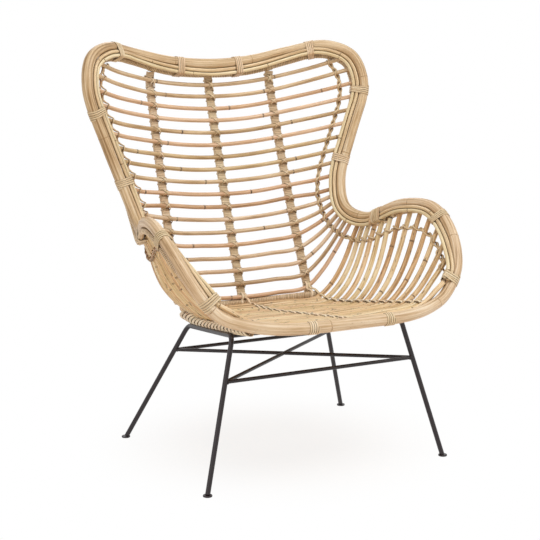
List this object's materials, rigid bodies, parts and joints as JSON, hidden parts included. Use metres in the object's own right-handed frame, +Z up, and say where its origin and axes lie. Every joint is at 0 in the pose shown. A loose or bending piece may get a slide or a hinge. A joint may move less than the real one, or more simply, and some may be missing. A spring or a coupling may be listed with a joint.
{
  "type": "rattan wing chair",
  "caption": "Open rattan lounge chair: one curved shell of round canes forms seat, back, wings and arms in a bent rattan rim, on a splayed black steel rod stand.",
  "frame": {"origin": "on the floor, under the middle of the chair's bounding box", "axes": "+Z up, the sitter looks along -Y, +X to the right of the chair as seen from its front"},
  "size_m": [0.8264, 0.7944, 1.0169],
  "materials": {
    "rattan_pole": "satin cane skin",
    "pale_cane": "satin cane skin",
    "cane_strip": "glossy cane strip",
    "rattan_cane": "satin peeled cane",
    "black_steel": "satin black"
  },
  "bodies": {
    "root": {"back_rim_pole": "rattan_pole", "seat_rim_pole": "rattan_pole", "rear_seat_bar": "rattan_pole", "right_seat_rail": "rattan_pole", "left_seat_rail": "rattan_pole", "inner_trim_cane": "pale_cane", "outer_trim_cane": "pale_cane", "right_side_cane": "pale_cane", "left_side_cane": "pale_cane", "back_hoop": "cane_strip", "right_front_binding": "cane_strip", "left_front_binding": "cane_strip", "left_rib": "cane_strip", "centre_rib": "cane_strip", "right_rib": "cane_strip", "back_cane_01": "rattan_cane", "back_cane_02": "rattan_cane", "back_cane_03": "rattan_cane", "back_cane_04": "rattan_cane", "back_cane_05": "rattan_cane", "back_cane_06": "rattan_cane", "back_cane_07": "rattan_cane", "back_cane_08": "rattan_cane", "back_cane_09": "rattan_cane", "back_cane_10": "rattan_cane", "back_cane_11": "rattan_cane", "back_cane_12": "rattan_cane", "back_cane_13": "rattan_cane", "back_cane_14": "rattan_cane", "back_cane_15": "rattan_cane", "back_cane_16": "rattan_cane", "back_cane_17": "rattan_cane", "back_cane_18": "rattan_cane", "seat_cane_01": "rattan_cane", "seat_cane_02": "rattan_cane", "seat_cane_03": "rattan_cane", "seat_cane_04": "rattan_cane", "seat_cane_05": "rattan_cane", "seat_cane_06": "rattan_cane", "seat_cane_07": "rattan_cane", "seat_cane_08": "rattan_cane", "seat_cane_09": "rattan_cane", "seat_cane_10": "rattan_cane", "seat_cane_11": "rattan_cane", "seat_cane_12": "rattan_cane", "seat_cane_13": "rattan_cane", "seat_cane_14": "rattan_cane", "seat_deck": "rattan_cane", "right_leg_frame": "black_steel", "left_leg_frame": "black_steel", "front_cross_rail": "black_steel", "rear_cross_rail": "black_steel", "stretcher_frame": "black_steel", "front_right_foot": "black_steel", "front_left_foot": "black_steel", "rear_right_foot": "black_steel", "rear_left_foot": "black_steel"}
  },
  "joints": []
}
